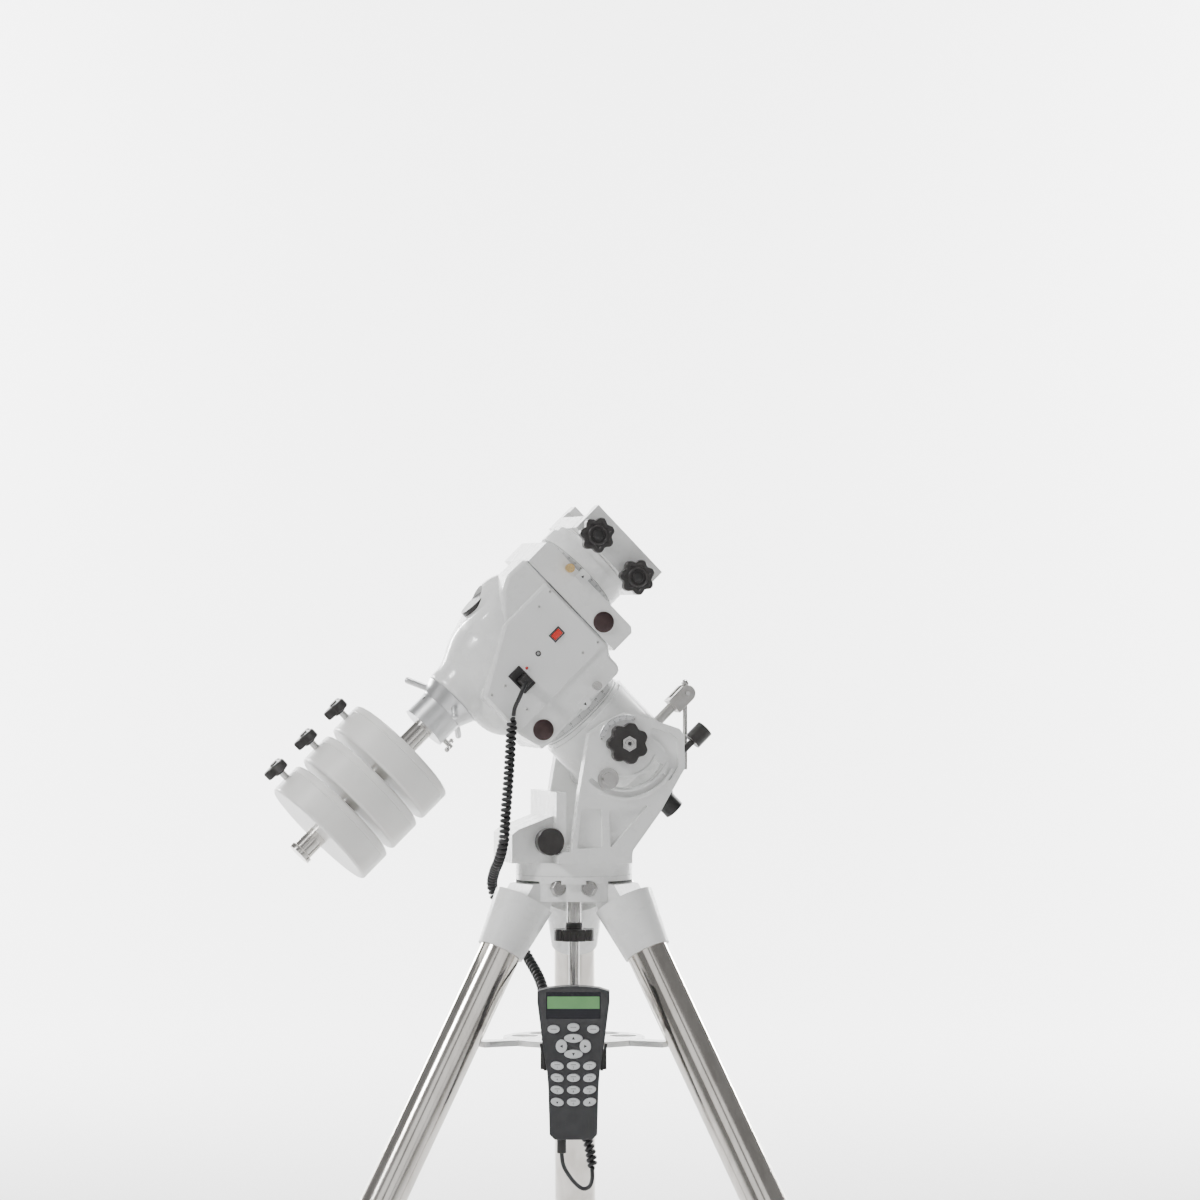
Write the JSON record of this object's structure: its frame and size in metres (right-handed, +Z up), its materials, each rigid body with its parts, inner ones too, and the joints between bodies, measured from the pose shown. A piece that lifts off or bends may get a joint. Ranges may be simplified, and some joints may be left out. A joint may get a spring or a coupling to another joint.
{
  "type": "equatorial mount",
  "caption": "German equatorial telescope mount on a steel tripod, with a tilting polar head, saddle, counterweights on a shaft and a corded hand controller.",
  "frame": {"origin": "centre of the footprint, on the floor", "axes": "+Z up; the camera side is -Y; the polar axis points up towards -X, turned by 15 degrees about +Z; the counterweights hang towards -X"},
  "size_m": [0.851, 0.7449, 1.2067],
  "materials": {
    "white_casting": "gloss white powder coat",
    "steel": "polished stainless",
    "dark_plastic": "satin black moulding",
    "brown_metal": "anodised dark brown",
    "satin_metal": "satin with engraved graduations",
    "brass": "machined",
    "hard_steel": "ground",
    "panel_paint": "smooth white enamel",
    "red_plastic": "translucent red rocker",
    "grey_plastic": "textured charcoal",
    "key_plastic": "pale grey keys",
    "cord_rubber": "satin black jacket",
    "weight_paint": "gloss white paint on iron"
  },
  "bodies": {
    "tripod": {"tripod_hub": "white_casting", "leg_bolts": "steel", "centre_rod": "steel"},
    "rod_knob": {"rod_knob": "dark_plastic"},
    "tray": {"spreader_tray": "white_casting", "handset_cradle": "dark_plastic", "handset_shell": "grey_plastic", "handset_plug": "cord_rubber", "cord_coil": "cord_rubber", "cord_tail": "cord_rubber"},
    "keys": {"handset_keys": "key_plastic"},
    "azimuth": {"azimuth_base": "white_casting"},
    "azimuth_bolts": {"azimuth_bolts": "dark_plastic"},
    "pivot_knobs": {"pivot_knobs": "dark_plastic"},
    "altitude": {"ra_housing": "white_casting", "slot_bolts": "steel"},
    "altitude_screw": {"altitude_screw": "steel"},
    "altitude_handle": {"altitude_handle": "steel"},
    "axis_lock_knob": {"axis_lock_knob": "dark_plastic"},
    "polar_scope": {"polar_scope": "dark_plastic"},
    "ra_circle": {"ra_circle": "satin_metal"},
    "head": {"ra_shaft": "hard_steel", "main_housing": "white_casting", "dec_block": "white_casting", "control_panel": "panel_paint", "socket_block": "dark_plastic", "worm_caps": "brown_metal", "worm_wheels": "brass", "worms": "hard_steel", "mount_plug": "cord_rubber", "cord_lead": "cord_rubber"},
    "power_switch": {"power_switch": "red_plastic"},
    "polar_port_cap": {"polar_port_cap": "dark_plastic"},
    "ra_circle_screw": {"ra_circle_screw": "brass"},
    "dec_circle_screw": {"dec_circle_screw": "brass"},
    "dec_circle": {"dec_circle": "satin_metal"},
    "dec": {"dec_shaft": "hard_steel", "saddle": "white_casting", "shaft_socket": "steel"},
    "saddle_jaw": {"saddle_jaw": "white_casting"},
    "saddle_knob_upper": {"saddle_knob_upper": "dark_plastic"},
    "saddle_knob_lower": {"saddle_knob_lower": "dark_plastic"},
    "lock_ring": {"lock_ring": "steel"},
    "socket_screw": {"socket_screw": "steel"},
    "weight_shaft": {"counterweight_shaft": "steel"},
    "weight_1": {"counterweight_1": "weight_paint"},
    "weight_knob_1": {"weight_knob_1": "dark_plastic"},
    "weight_2": {"counterweight_2": "weight_paint"},
    "weight_knob_2": {"weight_knob_2": "dark_plastic"},
    "weight_3": {"counterweight_3": "weight_paint"},
    "weight_knob_3": {"weight_knob_3": "dark_plastic"},
    "left_leg": {"left_leg_casting": "white_casting", "left_leg_tube": "steel"},
    "left_leg_inner": {"left_leg_inner": "steel"},
    "right_leg": {"right_leg_casting": "white_casting", "right_leg_tube": "steel"},
    "right_leg_inner": {"right_leg_inner": "steel"},
    "rear_leg": {"rear_leg_casting": "white_casting", "rear_leg_tube": "steel"},
    "rear_leg_inner": {"rear_leg_inner": "steel"}
  },
  "joints": [
    {"name": "tray_slide", "type": "slide", "parent": "tripod", "child": "tray", "axis": [0, 0, -1], "range_m": [0, 0.3], "deforming": ["cord_coil", "cord_tail", "cord_lead"]},
    {"name": "left_leg_fold", "type": "hinge", "parent": "tripod", "child": "left_leg", "pos_m": [-0.04157, -0.14229, 0.751], "axis": [0.5, -0.866, 0], "range_deg": [0, 16.53]},
    {"name": "left_leg_extend", "type": "slide", "parent": "left_leg", "child": "left_leg_inner", "axis": [-0.4146, -0.2393, -0.878], "range_m": [0, 0.33]},
    {"name": "right_leg_fold", "type": "hinge", "parent": "tripod", "child": "right_leg", "pos_m": [0.04157, -0.14229, 0.751], "axis": [0.5, 0.866, 0], "range_deg": [0, 16.53]},
    {"name": "right_leg_extend", "type": "slide", "parent": "right_leg", "child": "right_leg_inner", "axis": [0.4146, -0.2393, -0.878], "range_m": [0, 0.33]},
    {"name": "rear_leg_fold", "type": "hinge", "parent": "tripod", "child": "rear_leg", "pos_m": [0, -0.07029, 0.751], "axis": [-1, 0, 0], "range_deg": [0, 16.53]},
    {"name": "rear_leg_extend", "type": "slide", "parent": "rear_leg", "child": "rear_leg_inner", "axis": [0, 0.4787, -0.878], "range_m": [0, 0.33]},
    {"name": "rod_knob_turn", "type": "hinge", "parent": "tripod", "child": "rod_knob", "pos_m": [0, -0.11829, 0.692], "axis": [0, 0, 1], "continuous": true},
    {"name": "key_press", "type": "slide", "parent": "tray", "child": "keys", "axis": [0, 1, 0], "range_m": [0, 0.0008], "stiffness_N_per_m": 600},
    {"name": "azimuth_turn", "type": "hinge", "parent": "tripod", "child": "azimuth", "pos_m": [0, -0.11829, 0.765], "axis": [0, 0, 1], "range_deg": [-8, 8]},
    {"name": "azimuth_bolt_travel", "type": "slide", "parent": "azimuth", "child": "azimuth_bolts", "axis": [-0.2588, 0.9659, 0], "range_m": [-0.007, 0.007]},
    {"name": "pivot_knob_turn", "type": "hinge", "parent": "azimuth", "child": "pivot_knobs", "pos_m": [0.04221, -0.10698, 0.9234], "axis": [-0.2588, 0.9659, 0], "continuous": true},
    {"name": "altitude_tilt", "type": "hinge", "parent": "azimuth", "child": "altitude", "pos_m": [0.04221, -0.10698, 0.9234], "axis": [-0.2588, 0.9659, 0], "range_deg": [-20, 2], "deforming": ["cord_coil", "cord_tail", "cord_lead"]},
    {"name": "altitude_screw_turn", "type": "hinge", "parent": "altitude", "child": "altitude_screw", "pos_m": [0.10068, -0.09131, 0.94741], "axis": [0.6889, 0.1846, 0.7009], "range_deg": [0, 40]},
    {"name": "altitude_handle_swing", "type": "hinge", "parent": "altitude_screw", "child": "altitude_handle", "pos_m": [0.13375, -0.08245, 0.98105], "axis": [-0.2588, 0.9659, 0], "range_deg": [-60, 0]},
    {"name": "axis_lock_turn", "type": "hinge", "parent": "altitude", "child": "axis_lock_knob", "pos_m": [0.14195, -0.09889, 0.92311], "axis": [0.6889, 0.1846, 0.7009], "continuous": true},
    {"name": "polar_scope_focus", "type": "hinge", "parent": "altitude", "child": "polar_scope", "pos_m": [0.10768, -0.08943, 0.85443], "axis": [-0.677, -0.1814, 0.7133], "continuous": true},
    {"name": "ra_circle_turn", "type": "hinge", "parent": "altitude", "child": "ra_circle", "pos_m": [0.00409, -0.11719, 0.96356], "axis": [-0.677, -0.1814, 0.7133], "continuous": true},
    {"name": "ra_axis", "type": "hinge", "parent": "altitude", "child": "head", "pos_m": [0.00409, -0.11719, 0.96356], "axis": [-0.677, -0.1814, 0.7133], "continuous": true, "deforming": ["cord_coil", "cord_tail", "cord_lead"]},
    {"name": "power_rocker", "type": "hinge", "parent": "head", "child": "power_switch", "pos_m": [-0.02048, -0.18693, 1.05288], "axis": [-0.677, -0.1814, 0.7133], "range_deg": [0, 8]},
    {"name": "port_cap_pull", "type": "slide", "parent": "head", "child": "polar_port_cap", "axis": [-0.677, -0.1814, 0.7133], "range_m": [0, 0.02]},
    {"name": "ra_circle_screw_turn", "type": "hinge", "parent": "head", "child": "ra_circle_screw", "pos_m": [0.0274, -0.18134, 0.99179], "axis": [-0.2588, 0.9659, 0], "continuous": true},
    {"name": "dec_circle_screw_turn", "type": "hinge", "parent": "head", "child": "dec_circle_screw", "pos_m": [-0.0049, -0.19, 1.13139], "axis": [-0.2588, 0.9659, 0], "continuous": true},
    {"name": "dec_circle_turn", "type": "hinge", "parent": "head", "child": "dec_circle", "pos_m": [-0.00071, -0.11848, 1.12271], "axis": [0.6889, 0.1846, 0.7009], "continuous": true},
    {"name": "dec_axis", "type": "hinge", "parent": "head", "child": "dec", "pos_m": [-0.07512, -0.13841, 1.04701], "axis": [0.6889, 0.1846, 0.7009], "continuous": true},
    {"name": "jaw_slide", "type": "slide", "parent": "dec", "child": "saddle_jaw", "axis": [0.2588, -0.9659, 0], "range_m": [0, 0.006]},
    {"name": "saddle_knob_upper_turn", "type": "hinge", "parent": "dec", "child": "saddle_knob_upper", "pos_m": [0.02464, -0.18415, 1.17072], "axis": [-0.2588, 0.9659, 0], "continuous": true},
    {"name": "saddle_knob_lower_turn", "type": "hinge", "parent": "dec", "child": "saddle_knob_lower", "pos_m": [0.07203, -0.17145, 1.1208], "axis": [-0.2588, 0.9659, 0], "continuous": true},
    {"name": "lock_ring_turn", "type": "hinge", "parent": "dec", "child": "lock_ring", "pos_m": [-0.15159, -0.1589, 0.9692], "axis": [0.6889, 0.1846, 0.7009], "continuous": true},
    {"name": "socket_screw_turn", "type": "hinge", "parent": "dec", "child": "socket_screw", "pos_m": [-0.15333, -0.15937, 0.92538], "axis": [0.677, 0.1814, -0.7133], "continuous": true},
    {"name": "weight_shaft_slide", "type": "slide", "parent": "dec", "child": "weight_shaft", "axis": [0.6889, 0.1846, 0.7009], "range_m": [0, 0.012]},
    {"name": "weight_1_slide", "type": "slide", "parent": "weight_shaft", "child": "weight_1", "axis": [0.6889, 0.1846, 0.7009], "range_m": [-0.024, 0.003]},
    {"name": "weight_knob_1_turn", "type": "hinge", "parent": "weight_1", "child": "weight_knob_1", "pos_m": [-0.34576, -0.21093, 0.89084], "axis": [-0.677, -0.1814, 0.7133], "continuous": true},
    {"name": "weight_2_slide", "type": "slide", "parent": "weight_shaft", "child": "weight_2", "axis": [0.6889, 0.1846, 0.7009], "range_m": [-0.004, 0.004]},
    {"name": "weight_knob_2_turn", "type": "hinge", "parent": "weight_2", "child": "weight_knob_2", "pos_m": [-0.3111, -0.20164, 0.9261], "axis": [-0.677, -0.1814, 0.7133], "continuous": true},
    {"name": "weight_3_slide", "type": "slide", "parent": "weight_shaft", "child": "weight_3", "axis": [0.6889, 0.1846, 0.7009], "range_m": [-0.004, 0.02]},
    {"name": "weight_knob_3_turn", "type": "hinge", "parent": "weight_3", "child": "weight_knob_3", "pos_m": [-0.27631, -0.19232, 0.96149], "axis": [-0.677, -0.1814, 0.7133], "continuous": true}
  ],
  "couplings": [
    {"joint": "left_leg_fold", "follows": "tray_slide", "rad_per_m": 0.95},
    {"joint": "right_leg_fold", "follows": "tray_slide", "rad_per_m": 0.95},
    {"joint": "rear_leg_fold", "follows": "tray_slide", "rad_per_m": 0.95},
    {"joint": "azimuth_bolt_travel", "follows": "azimuth_turn", "m_per_rad": 0.046}
  ]
}
